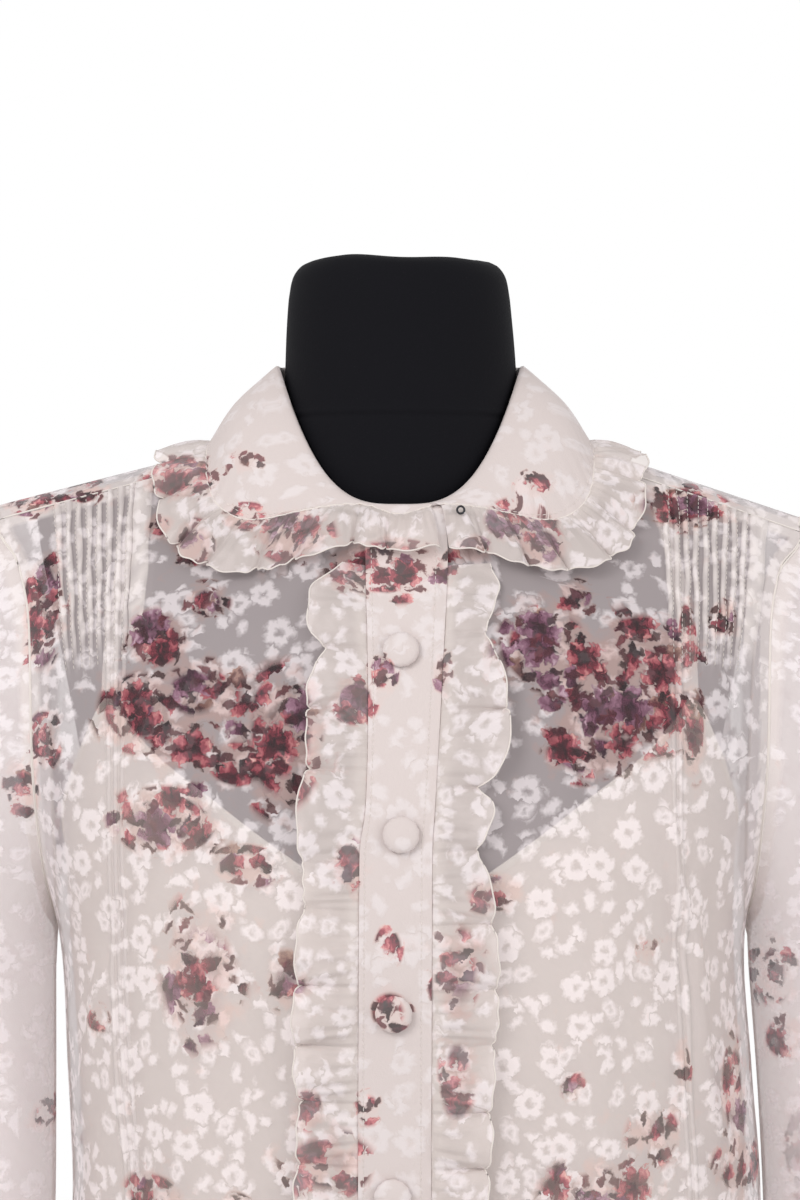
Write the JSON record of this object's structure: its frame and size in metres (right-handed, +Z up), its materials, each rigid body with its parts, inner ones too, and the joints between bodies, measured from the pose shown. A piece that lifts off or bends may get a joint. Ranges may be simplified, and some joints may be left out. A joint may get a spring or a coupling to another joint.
{
  "type": "blouse on a dress form",
  "caption": "Sheer printed blouse with ruffled collar and placket, pin tucks, empty sleeves and camisole lining, worn by a limbless dress form.",
  "frame": {"origin": "centre of the dress form's flat foot", "axes": "+Z up through the neck, -Y out of the garment's front, +X to the wearer's left"},
  "size_m": [0.5979, 0.273, 0.796],
  "materials": {
    "print": "sheer burn-out chiffon with a flower print",
    "band": "two layers of the chiffon, opaque",
    "satin": "cream satin",
    "jersey": "black jersey cover",
    "metal": "dark metal ring"
  },
  "bodies": {
    "root": {"form": "jersey", "front_right": "print", "front_left": "print", "back": "print", "sleeve_right": "print", "sleeve_left": "print", "placket": "band", "frill_right": "print", "frill_left": "print", "collar": "band", "collar_frill": "print", "lining_front": "satin", "lining_back": "satin", "strap_right": "satin", "strap_left": "satin", "button_1": "band", "button_2": "band", "button_3": "band", "button_4": "band", "button_5": "band", "button_6": "band", "neck_eye": "metal"}
  },
  "joints": []
}
